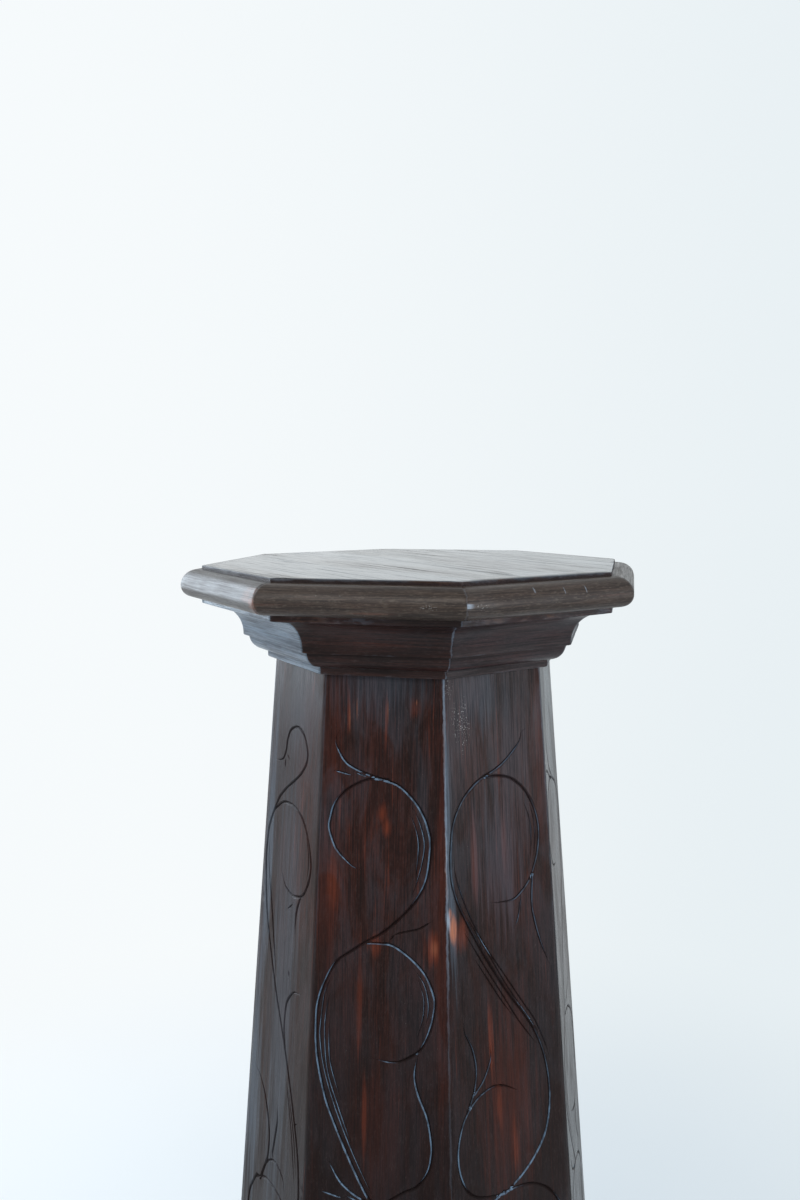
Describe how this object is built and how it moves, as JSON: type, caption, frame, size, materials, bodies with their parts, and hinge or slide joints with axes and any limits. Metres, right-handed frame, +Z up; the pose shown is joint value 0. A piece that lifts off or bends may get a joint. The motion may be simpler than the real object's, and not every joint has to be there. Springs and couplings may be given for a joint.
{
  "type": "pedestal column stand",
  "caption": "Octagonal wooden pedestal stand: a tapering hollow column on a moulded plinth, with a crown moulding and a flat display top with a rounded edge.",
  "frame": {"origin": "on the floor, under the column's axis", "axes": "+Z up along the column's axis; side 1 faces -Y"},
  "size_m": [0.3768, 0.3768, 1],
  "materials": {
    "display_wood": "dark stained, satin lacquer",
    "trim_wood": "dark stained, satin lacquer",
    "column_wood": "dark stained, satin lacquer",
    "inner_wood": "unfinished",
    "steel": "plain"
  },
  "bodies": {
    "root": {"base_board": "inner_wood", "base_brads": "steel", "base_moulding_1": "trim_wood", "base_moulding_2": "trim_wood", "base_moulding_3": "trim_wood", "base_moulding_4": "trim_wood", "base_moulding_5": "trim_wood", "base_moulding_6": "trim_wood", "base_moulding_7": "trim_wood", "base_moulding_8": "trim_wood", "base_screws": "steel", "column_stave_1": "column_wood", "column_stave_2": "column_wood", "column_stave_3": "column_wood", "column_stave_4": "column_wood", "column_stave_5": "column_wood", "column_stave_6": "column_wood", "column_stave_7": "column_wood", "column_stave_8": "column_wood", "corner_blocks": "inner_wood", "crown_brads": "steel", "crown_moulding_1": "trim_wood", "crown_moulding_2": "trim_wood", "crown_moulding_3": "trim_wood", "crown_moulding_4": "trim_wood", "crown_moulding_5": "trim_wood", "crown_moulding_6": "trim_wood", "crown_moulding_7": "trim_wood", "crown_moulding_8": "trim_wood", "middle_former": "inner_wood", "neck_band_1": "trim_wood", "neck_band_2": "trim_wood", "neck_band_3": "trim_wood", "neck_band_4": "trim_wood", "neck_band_5": "trim_wood", "neck_band_6": "trim_wood", "neck_band_7": "trim_wood", "neck_band_8": "trim_wood", "plinth_board_1": "trim_wood", "plinth_board_2": "trim_wood", "plinth_board_3": "trim_wood", "plinth_board_4": "trim_wood", "plinth_board_5": "trim_wood", "plinth_board_6": "trim_wood", "plinth_board_7": "trim_wood", "plinth_board_8": "trim_wood", "stave_tongues": "inner_wood", "top_edge_1": "trim_wood", "top_edge_2": "trim_wood", "top_edge_3": "trim_wood", "top_edge_4": "trim_wood", "top_edge_5": "trim_wood", "top_edge_6": "trim_wood", "top_edge_7": "trim_wood", "top_edge_8": "trim_wood", "top_edge_brads": "steel", "top_former": "inner_wood", "top_panel": "display_wood", "top_screws": "steel"}
  },
  "joints": []
}
